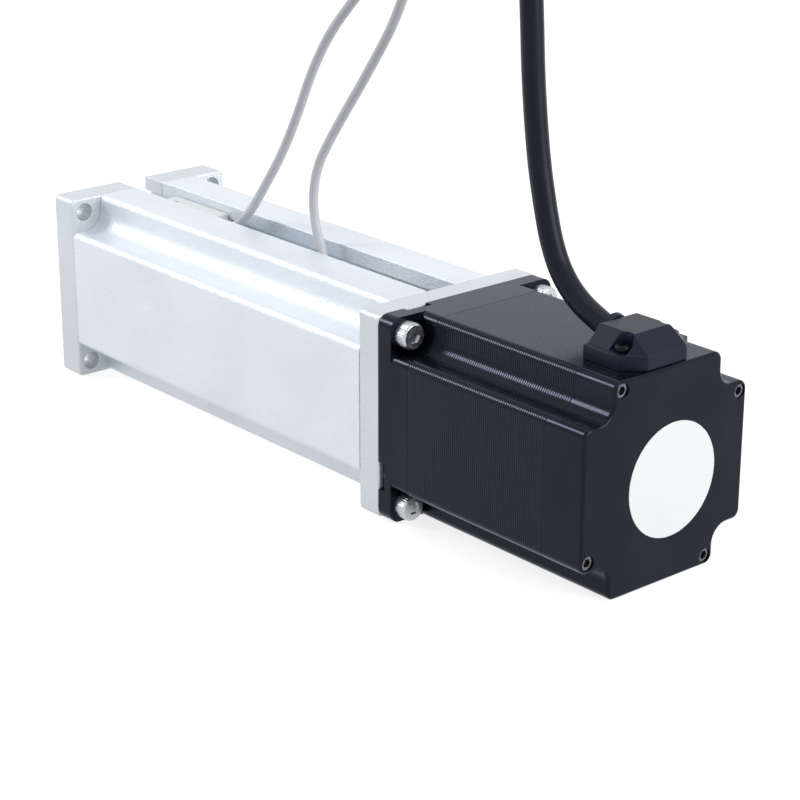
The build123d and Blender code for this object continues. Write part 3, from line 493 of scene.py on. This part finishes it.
def jacket_finish(name, base, roughness, gloss):
    """Extruded cable jacket: smooth, with faint waves where the cores lie under it."""
    material, tree, shader = new_finish(
        name, base, metallic=0.0, gloss=gloss, sheen=BLUE_SHEEN)
    waves = noise(tree, even(260))
    skin = noise(tree, even(2600))
    vary_colour(tree, shader, waves, base, low=0.96, high=1.03)
    vary_roughness(tree, shader, waves, low=roughness - 0.03, high=roughness + 0.03)
    relief(tree, shader, waves, depth=0.015 * MM, strength=0.5)
    relief(tree, shader, skin, depth=0.006 * MM, strength=0.4)
    return material


def label_finish():
    """Blank label: smooth film, very slightly uneven where it is pressed down."""
    base = colours().label
    material, tree, shader = new_finish("Blank label", base, metallic=0.0, roughness=0.35)
    uneven = noise(tree, even(120))
    vary_colour(tree, shader, uneven, base, low=0.985, high=1.01)
    relief(tree, shader, uneven, depth=0.02 * MM, strength=0.3)
    return material


# Operators, one for each piece or group of like pieces


class OBJECT_OT_stage(bpy.types.Operator):
    """Sets the camera, the floor, the world and the lamps"""

    bl_idname = "cylinder.stage"
    bl_label = "Stage"

    # The camera: its turns in degrees, its place, and its lens and sensor in millimetres
    AZIMUTH = 229.521
    ELEVATION = 20.459
    ROLL = 0.1
    PLACE = (-575.98 * MM, 382.17 * MM, 211.07 * MM)
    LENS = 102.8
    SENSOR = 36.0
    NEAREST = 10 * MM

    # The floor: its side in metres, and how much it glows where it is seen, so that it is white
    FLOOR_SIDE = 8.0
    FLOOR_COLOUR = (0.36, 0.36, 0.37)
    FLOOR_GLOW = 0.8

    # The light that comes from all round
    ROOM_COLOUR = (0.93, 0.96, 1.0)
    ROOM_LIGHT = 0.62

    # Name, place and size in metres, turn about the beam in degrees, power in watts
    LAMPS = (
        ("High lamp", (-0.2, -0.1, 1.2), (0.8, 0.8), 0.0, 1.5),
        ("Strip lamp", (0.784, 0.553, 0.593), (0.2, 0.5), -52.0, 0.4),
        ("Motor lamp", (0.558, 0.57, 0.6), (0.3, 0.24), -52.0, 3.3),
        ("Rear lamp", (-1.1, -0.3, 0.4), (0.7, 0.7), 0.0, 7.0),
    )

    def execute(self, context):
        scene = context.scene
        scene.view_settings.view_transform = "Standard"
        self.set_camera(scene)
        self.set_floor()
        self.set_world(scene)
        self.set_lamps()
        return {"FINISHED"}

    def set_camera(self, scene):
        """A camera that looks down on the rear, the +Y side and the top."""
        bpy.ops.object.camera_add(location=self.PLACE)
        camera = bpy.context.object
        turn = Matrix.Rotation(radians(self.AZIMUTH), 4, "Z")
        tilt = Matrix.Rotation(radians(90 - self.ELEVATION), 4, "X")
        roll = Matrix.Rotation(radians(self.ROLL), 4, "Z")
        camera.matrix_world = Matrix.Translation(self.PLACE) @ turn @ tilt @ roll
        camera.data.lens = self.LENS
        camera.data.sensor_width = self.SENSOR
        camera.data.clip_start = self.NEAREST
        scene.camera = camera

    def seen(self, tree, path):
        """1 where a surface is seen directly or in a reflection, from the light path's node."""
        camera, glossy = path.outputs["Is Camera Ray"], path.outputs["Is Glossy Ray"]
        return arithmetic(tree, "MAXIMUM", camera, glossy)

    def set_floor(self):
        """A pale floor under the lowest point, which keeps the object's shadow."""
        lowest = cad_box[0][2]
        deselect_all()
        bpy.ops.mesh.primitive_plane_add(size=self.FLOOR_SIDE, location=(0, 0, lowest))
        floor = bpy.context.object
        floor.name = "floor"
        apply_place(floor)
        material, tree, shader = new_finish(
            "Pale floor", self.FLOOR_COLOUR, metallic=0.0, roughness=0.9, gloss=0.0)
        path = tree.nodes.new("ShaderNodeLightPath")
        glow = arithmetic(tree, "MULTIPLY", self.seen(tree, path), self.FLOOR_GLOW)
        shader.inputs["Emission Color"].default_value = (1, 1, 1, 1)
        tree.links.new(glow, shader.inputs["Emission Strength"])
        floor.data.materials.append(material)

    def set_world(self, scene):
        """A room that lights the object evenly, and is plain white where it is seen."""
        world = bpy.data.worlds.new("Pale room")
        scene.world = world
        world.use_nodes = True
        tree = world.node_tree
        room = tree.nodes["Background"]
        room.inputs["Color"].default_value = (*self.ROOM_COLOUR, 1)
        room.inputs["Strength"].default_value = self.ROOM_LIGHT
        white = tree.nodes.new("ShaderNodeBackground")
        white.inputs["Color"].default_value = (1, 1, 1, 1)
        white.inputs["Strength"].default_value = 1.0
        path = tree.nodes.new("ShaderNodeLightPath")
        plain = arithmetic(
            tree, "MAXIMUM", self.seen(tree, path), path.outputs["Is Transmission Ray"])
        choose = tree.nodes.new("ShaderNodeMixShader")
        tree.links.new(plain, choose.inputs["Fac"])
        tree.links.new(room.outputs["Background"], choose.inputs[1])
        tree.links.new(white.outputs["Background"], choose.inputs[2])
        tree.links.new(choose.outputs["Shader"], tree.nodes["World Output"].inputs["Surface"])

    def set_lamps(self):
        """Area lamps, all aimed at the middle of the object's length."""
        middle = Vector(((cad_box[0][0] + cad_box[1][0]) / 2, 0, 0))
        for name, place, size, turn, power in self.LAMPS:
            bpy.ops.object.light_add(type="AREA", location=place)
            lamp = bpy.context.object
            lamp.name = name
            aim = (middle - Vector(place)).to_track_quat("-Z", "Y").to_matrix().to_4x4()
            about_beam = Matrix.Rotation(radians(turn), 4, "Z")
            lamp.matrix_world = Matrix.Translation(place) @ aim @ about_beam
            lamp.data.shape = "RECTANGLE"
            lamp.data.size, lamp.data.size_y = size
            lamp.data.energy = power


class OBJECT_OT_cables(bpy.types.Operator):
    """Lays the motor cable and the two sensor cables, with the bared cores at their ends"""

    bl_idname = "cylinder.cables"
    bl_label = "Cables"

    MOTOR_DIAMETER = 6.0 * MM
    SENSOR_DIAMETER = 2.7 * MM
    # The order of the curve through a route, its steps to a stretch, and those round a quarter
    LINE_ORDER = 3
    LINE_STEPS = 8
    ROUND_STEPS = 5

    # The radius of each core, and of the circle that they stand on
    MOTOR_CORES = (0.85 * MM, 1.5 * MM)
    SENSOR_CORES = (0.45 * MM, 0.65 * MM)
    CORE_LENGTH = 12.0 * MM
    CORE_SIDES = 20
    # How much of a core's radius is insulation
    INSULATION = 0.4
    # A face that reaches this far past the insulation is bare wire
    PAST_INSULATION = 0.01 * MM
    CORE_COLOURS = {
        "Black core": (0.02, 0.02, 0.02),
        "Green core": (0.03, 0.2, 0.07),
        "Red core": (0.4, 0.03, 0.02),
        "Blue core": (0.03, 0.09, 0.35),
        "Brown core": (0.13, 0.05, 0.02),
    }
    MOTOR_ORDER = ("Black core", "Green core", "Red core", "Blue core")
    SENSOR_ORDER = ("Brown core", "Blue core", "Black core")
    WIRE_COLOUR = (0.6, 0.6, 0.6)

    def execute(self, context):
        black = jacket_finish("Black jacket", colours().motor_jacket, 0.32, LOW_GLOSS)
        grey = jacket_finish("Grey jacket", colours().sensor_jacket, 0.42, gloss=0.4)
        self.insulation = {
            name: moulded_finish(name, base, roughness=0.35)
            for name, base in self.CORE_COLOURS.items()}
        self.wire = metal_finish("Tinned wire", self.WIRE_COLOUR, roughness=0.35, grain=even(3000))
        self.cable("motor_cable", MOTOR_CABLE_ROUTE, self.MOTOR_DIAMETER, black, "black_jacket",
                   "medium", self.MOTOR_CORES, self.MOTOR_ORDER, "motor_cable_cores")
        for node, route, cores_node in (
                ("sensor_cable_front", FRONT_SENSOR_ROUTE, "sensor_cores_front"),
                ("sensor_cable_rear", REAR_SENSOR_ROUTE, "sensor_cores_rear")):
            self.cable(node, route, self.SENSOR_DIAMETER, grey, "grey_jacket",
                       "limp", self.SENSOR_CORES, self.SENSOR_ORDER, cores_node)
        return {"FINISHED"}

    def cable(self, node, route, diameter, material, slot, stiffness, cores, order, cores_node):
        """One cable: a jacket that follows the route, and the bared cores at its far end."""
        points = [Vector((x * MM, 0, z * MM)) for x, z in route]
        curve = bpy.data.curves.new(f"{node}_jacket", "CURVE")
        curve.dimensions = "3D"
        curve.resolution_u = self.LINE_STEPS
        curve.bevel_depth = diameter / 2
        curve.bevel_resolution = self.ROUND_STEPS
        curve.use_fill_caps = True
        spline = curve.splines.new("NURBS")
        spline.points.add(len(points) - 1)
        for control, point in zip(spline.points, points):
            control.co = (*point, 1)
        spline.order_u = self.LINE_ORDER
        spline.use_endpoint_u = True
        jacket = bpy.data.objects.new(f"{node}_jacket", curve)
        bpy.context.collection.objects.link(jacket)
        dress(jacket, material, slot, FIXED, node)
        along = (points[-1] - points[-2]).normalized()
        ends = self.bared_cores(points[-1], along, cores, order, cores_node)
        line = self.line_length(jacket)

    def line_length(self, cable):
        """The length of a cable's own line."""
        bare = cable.data.copy()
        bare.bevel_depth = 0
        line = bpy.data.objects.new("line", bare)
        bpy.context.collection.objects.link(line)
        mesh = bpy.data.meshes.new_from_object(line)
        places = [vertex.co.copy() for vertex in mesh.vertices]
        bpy.data.objects.remove(line)
        return sum((places[first] - places[second]).length
                   for first, second in (edge.vertices for edge in mesh.edges))

    def bared_cores(self, place, along, cores, order, node):
        """Insulated cores with bare ends, standing out of the cut end of a cable."""
        radius, circle = cores
        bare = sizes().core_bare
        insulated = self.CORE_LENGTH - bare
        across = Vector((0, 1, 0))
        up = along.cross(across)
        turn = along.to_track_quat("Z", "Y").to_euler()
        made = []
        for number, name in enumerate(order):
            angle = 2 * pi * number / len(order)
            foot = place + circle * (cos(angle) * across + sin(angle) * up)
            deselect_all()
            bpy.ops.mesh.primitive_cylinder_add(
                vertices=self.CORE_SIDES, radius=radius, depth=insulated,
                location=foot + along * insulated / 2, rotation=turn)
            core = bpy.context.object
            core.data.materials.append(self.insulation[name])
            core.data.materials.append(self.wire)
            edit_where(core, lambda co: co.z > 0)
            bpy.ops.mesh.inset(thickness=self.INSULATION * radius)
            bpy.ops.mesh.extrude_region_move(TRANSFORM_OT_translate={"value": along * bare})
            bpy.ops.object.mode_set(mode="OBJECT")
            for face in core.data.polygons:
                highest = max(core.data.vertices[i].co.z for i in face.vertices)
                if highest > insulated / 2 + self.PAST_INSULATION:
                    face.material_index = 1
            apply_place(core)
            smooth_shading(core)
            made.append(core)
        select_only(*made)
        bpy.ops.object.join()
        ends = bpy.context.object
        ends.name = f"{node}_bared"
        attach(ends, FIXED)
        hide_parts(node)
        return ends


class OBJECT_OT_plates_and_housing(bpy.types.Operator):
    """Finishes the two end plates and the extruded housing in clear anodised aluminium"""

    bl_idname = "cylinder.plates_and_housing"
    bl_label = "Plates and housing"

    BLASTED = even(1700)
    BLASTED_AND_DRAWN = (1400, 1700, 1700)

    def execute(self, context):
        plates = anodised_finish("Anodised plates", colours().anodised_plates, self.BLASTED)
        profile = anodised_finish(
            "Anodised extrusion", colours().anodised, self.BLASTED_AND_DRAWN)
        soften("front_flange", sizes().plate_edge, plates, "clear_anodised")
        soften("rear_plate", sizes().plate_edge, plates, "clear_anodised")
        soften("housing_profile", sizes().profile_edge, profile, "clear_anodised")
        return {"FINISHED"}


class OBJECT_OT_motor_shell(bpy.types.Operator):
    """Finishes the motor's front cap, laminations and rear cover, and its blank label"""

    bl_idname = "cylinder.motor_shell"
    bl_label = "Motor shell"

    def execute(self, context):
        coat = coated_finish("Motor coat", colours().motor_coat, roughness=0.17)
        soften("motor_front_cap", sizes().motor_edge, coat, "dark_coated")
        soften("motor_rear_cover", sizes().motor_edge, coat, "dark_coated")
        soften("stator_laminations", sizes().lamination_edge, lamination_finish(),
               "lamination_steel")
        soften("round_label", sizes().label_edge, label_finish(), "label_white")
        return {"FINISHED"}


class OBJECT_OT_screws(bpy.types.Operator):
    """Finishes the screws, and knurls the heads that hold the motor on"""

    bl_idname = "cylinder.screws"
    bl_label = "Screws"

    # The motor screws' heads, and how far below the top of a head its knurl starts
    HEAD_RADIUS = 3.5 * MM
    KNURL_FROM_TOP = 0.5 * MM
    ROLLED = even(900)

    def execute(self, context):
        bright = metal_finish("Bright screws", colours().steel, 0.3, self.ROLLED)
        # The outlet screws' blackened steel is darkened further, as painted shade for the dark
        # pocket they sit in
        dark = metal_finish("Black screws with painted shade", colours().outlet_screws, 0.3, self.ROLLED)
        grey = metal_finish("Grey screws", colours().tie_screws, 0.22, self.ROLLED)
        soften("motor_screws", sizes().screw_edge, bright, "plain_steel")
        soften("tie_screws", sizes().screw_edge, grey, "plain_steel")
        soften("front_flange_screws", sizes().screw_edge, bright, "plain_steel")
        soften("sensor_screws", sizes().small_screw_edge, bright, "plain_steel")
        soften("outlet_screws", sizes().small_screw_edge, dark, "black_steel")
        self.knurl(bright)
        return {"FINISHED"}

    def knurl(self, material):
        """A ridged band round each head, modelled once and copied to the four corners."""
        root, crest = self.HEAD_RADIUS, self.HEAD_RADIUS + sizes().knurl_height
        reach = sizes().knurl_length
        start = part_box("motor_screws")[0][0] + self.KNURL_FROM_TOP
        half = mount_size("front_bolts", "spacing_x_mm") / 2
        deselect_all()
        bpy.ops.mesh.primitive_cylinder_add(
            vertices=2 * sizes().knurl_teeth, radius=crest, depth=reach)
        first = bpy.context.object
        for vertex in first.data.vertices:
            # A cylinder's vertices come in pairs, so this sinks every second line of them
            if (vertex.index // 2) % 2:
                vertex.co.x *= root / crest
                vertex.co.y *= root / crest
        bands = []
        for y in (half, -half):
            for z in (half, -half):
                band = first.copy()
                band.data = first.data.copy()
                bpy.context.collection.objects.link(band)
                band.rotation_euler = (0, QUARTER_TURN, 0)
                band.location = (start + reach / 2, y, z)
                apply_place(band)
                bands.append(band)
        bpy.data.objects.remove(first)
        select_only(*bands)
        bpy.ops.object.join()
        knurls = bpy.context.object
        knurls.name = "motor_screw_knurls"
        dress(knurls, material, "plain_steel", FIXED)


class OBJECT_OT_lead_outlet(bpy.types.Operator):
    """Finishes the moulded lead outlet and its gland"""

    bl_idname = "cylinder.lead_outlet"
    bl_label = "Lead outlet"

    def execute(self, context):
        plastic = moulded_finish("Outlet plastic", colours().outlet, roughness=0.34)
        soften("lead_outlet", sizes().moulded_edge, plastic, "outlet_plastic")
        soften("cable_gland", sizes().gland_edge, plastic, "outlet_plastic")
        return {"FINISHED"}


class OBJECT_OT_sensors(bpy.types.Operator):
    """Finishes the two sensors in the slot"""

    bl_idname = "cylinder.sensors"
    bl_label = "Sensors"

    def execute(self, context):
        plastic = moulded_finish("Sensor plastic", colours().sensor, roughness=0.45)
        soften("sensor_front", sizes().sensor_edge, plastic, "sensor_plastic")
        soften("sensor_rear", sizes().sensor_edge, plastic, "sensor_plastic")
        return {"FINISHED"}


class OBJECT_OT_rod_end(bpy.types.Operator):
    """Finishes the rod, its wiper, collar and nut, and cuts the thread on the stud"""

    bl_idname = "cylinder.rod_end"
    bl_label = "Rod end"

    # Tool marks that run round the rod, finer and shallower on the ground part
    TURNED = (1800, 300, 300)
    GROUND = (5000, 300, 300)
    GROUND_DEPTH = 0.0004 * MM

    STUD_SIDES = 64
    STUD_EDGE = 0.3 * MM
    STEPS_A_TURN = 40
    # How deep the thread's ridge is set into the stud, and how much of the pitch it takes up
    RIDGE_SUNK = 0.05 * MM
    RIDGE_WIDTH = 0.9
    # How far before the tip the thread begins to wear down, and how steeply
    CHAMFER = 0.8 * MM
    CHAMFER_SLOPE = 1.2

    def execute(self, context):
        steel = metal_finish("Turned steel", colours().steel, 0.28, self.TURNED)
        chrome = metal_finish(
            "Hard chrome", colours().chrome, 0.16, self.GROUND, self.GROUND_DEPTH)
        rubber = moulded_finish("Wiper rubber", colours().rubber, roughness=0.6)
        soften("piston_rod", sizes().screw_edge, chrome, "hard_chrome", ROD)
        soften("jam_nut", sizes().screw_edge, steel, "plain_steel", ROD)
        soften("wiper_seal", sizes().wiper_edge, rubber, "seal_rubber")
        nut_low, nut_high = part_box("jam_nut")
        inside_nut = (nut_low[0] + nut_high[0]) / 2
        self.collar(steel, inside_nut)
        self.stud(steel, inside_nut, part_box("rod_end")[1][0])
        return {"FINISHED"}

    def collar(self, material, end):
        """The rod end's collar with its wrench flats, cut off where the nut hides the cut."""
        collar = merged_copy("rod_end", "rod_end_collar")
        bpy.ops.object.mode_set(mode="EDIT")
        bpy.ops.mesh.select_all(action="SELECT")
        bpy.ops.mesh.bisect(
            plane_co=(end, 0, 0), plane_no=(1, 0, 0), use_fill=True, clear_outer=True)
        bpy.ops.object.mode_set(mode="OBJECT")
        round_edges(collar, sizes().screw_edge)
        dress(collar, material, "plain_steel", ROD, "rod_end")

    def stud(self, material, low, tip):
        """The stud from inside the nut to its tip, with its thread."""
        outer = mount_size("rod_stud", "r_mm")
        core = outer - sizes().thread_depth
        deselect_all()
        bpy.ops.mesh.primitive_cylinder_add(
            vertices=self.STUD_SIDES, radius=core, depth=tip - low,
            location=((low + tip) / 2, 0, 0), rotation=(0, QUARTER_TURN, 0))
        stud = bpy.context.object
        apply_place(stud)
        round_edges(stud, self.STUD_EDGE)
        ridge = self.ridge(low, tip, core, outer)
        select_only(ridge, stud)
        bpy.ops.object.join()
        stud.name = "rod_stud_thread"
        dress(stud, material, "plain_steel", ROD)

    def ridge(self, low, tip, core, outer):
        """The thread's ridge: a triangle wound round the core, worn down over the chamfer."""
        pitch = sizes().thread_pitch
        foot, width = core - self.RIDGE_SUNK, pitch * self.RIDGE_WIDTH
        deselect_all()
        bpy.ops.mesh.primitive_circle_add(vertices=3, radius=pitch / 2)
        ridge = bpy.context.object
        corners = ((low, foot), (low + width, foot), (low + width / 2, outer))
        for vertex, (x, height) in zip(ridge.data.vertices, corners):
            vertex.co = (x, 0, height)
        screw = ridge.modifiers.new("Thread", "SCREW")
        turns = int((tip - low) / pitch) - 1
        screw.axis = "X"
        screw.angle = 2 * pi * turns
        screw.screw_offset = pitch * turns
        screw.steps = screw.render_steps = self.STEPS_A_TURN * turns
        screw.use_smooth_shade = False
        apply_modifiers(ridge)
        self.close_ends()
        for vertex in ridge.data.vertices:
            radius = sqrt(vertex.co.y**2 + vertex.co.z**2)
            past_chamfer = vertex.co.x - (tip - self.CHAMFER)
            most = min(outer, outer - past_chamfer * self.CHAMFER_SLOPE)
            if radius > most:
                vertex.co.y *= most / radius
                vertex.co.z *= most / radius
        smooth_shading(ridge)
        return ridge

    def close_ends(self):
        """Fills the two open ends of the active piece, and turns its faces outwards."""
        bpy.ops.object.mode_set(mode="EDIT")
        bpy.ops.mesh.select_all(action="DESELECT")
        bpy.ops.mesh.select_mode(type="EDGE")
        bpy.ops.mesh.select_non_manifold(
            extend=False, use_wire=False, use_multi_face=False, use_non_contiguous=False)
        bpy.ops.mesh.edge_face_add()
        bpy.ops.mesh.select_mode(type="VERT")
        bpy.ops.mesh.select_all(action="SELECT")
        bpy.ops.mesh.normals_make_consistent(inside=False)
        bpy.ops.object.mode_set(mode="OBJECT")


class OBJECT_OT_inner_pieces(bpy.types.Operator):
    """Gives the pieces inside the housing and the motor their finishes"""

    bl_idname = "cylinder.inner_pieces"
    bl_label = "Inner pieces"

    FINE = even(1500)
    WOUND = (200, 5000, 5000)

    def execute(self, context):
        steel = metal_finish("Ground steel", colours().steel, 0.25, self.FINE)
        finishes = {
            "clear_anodised": anodised_finish(
                "Anodised inner pieces", colours().anodised, self.FINE),
            "dark_coated": coated_finish("Inner coat", colours().motor_coat, 0.35),
            "lamination_steel": metal_finish("Rotor steel", (0.25, 0.25, 0.26), 0.4, self.FINE),
            "plain_steel": steel,
            "black_steel": metal_finish("Blackened steel", (0.05, 0.05, 0.055), 0.4, self.FINE),
            "hard_chrome": steel,
            "bronze": metal_finish("Bush bronze", (0.5, 0.32, 0.13), 0.35, self.FINE),
            "copper_wire": metal_finish("Winding copper", (0.5, 0.2, 0.08), 0.35, self.WOUND),
            "magnet_black": moulded_finish("Magnet", (0.05, 0.05, 0.055), 0.6),
            "guide_plastic": moulded_finish("Guide plastic", (0.7, 0.68, 0.62), 0.5),
            "seal_rubber": moulded_finish("Seal rubber", colours().rubber, 0.6),
            "bumper_rubber": moulded_finish("Bumper rubber", (0.05, 0.05, 0.05), 0.7),
            "black_jacket": moulded_finish("Lead insulation", colours().motor_jacket, 0.4),
        }
        slots = {part["node"]: part["material_slot"] for part in frame["record"]["subparts"]}
        for name, node in frame["nodes"].items():
            if slots[name] in finishes:
                node.data.materials.clear()
                node.data.materials.append(finishes[slots[name]])
        return {"FINISHED"}


class VIEW3D_PT_cylinder(bpy.types.Panel):
    """Lists the pieces of the electric cylinder"""

    bl_label = "Electric Cylinder"
    bl_space_type = "VIEW_3D"
    bl_region_type = "UI"
    bl_category = "Cylinder"

    def draw(self, context):
        for operator in OPERATORS:
            self.layout.operator(operator.bl_idname)
        for group in (context.scene.cylinder_sizes, context.scene.cylinder_colours):
            box = self.layout.box()
            for name in group.__annotations__:
                box.prop(group, name)


OPERATORS = (
    OBJECT_OT_stage,
    OBJECT_OT_cables,
    OBJECT_OT_plates_and_housing,
    OBJECT_OT_motor_shell,
    OBJECT_OT_screws,
    OBJECT_OT_lead_outlet,
    OBJECT_OT_sensors,
    OBJECT_OT_rod_end,
    OBJECT_OT_inner_pieces,
)
CLASSES = (CylinderSizes, CylinderColours, *OPERATORS, VIEW3D_PT_cylinder)


def register():
    for each in CLASSES:
        bpy.utils.register_class(each)
    bpy.types.Scene.cylinder_sizes = PointerProperty(type=CylinderSizes)
    bpy.types.Scene.cylinder_colours = PointerProperty(type=CylinderColours)


def unregister():
    del bpy.types.Scene.cylinder_colours
    del bpy.types.Scene.cylinder_sizes
    for each in reversed(CLASSES):
        bpy.utils.unregister_class(each)


def main():
    register()
    for operator in OPERATORS:
        group, name = operator.bl_idname.split(".")
        getattr(getattr(bpy.ops, group), name)()


if __name__ == "__main__":
    main()
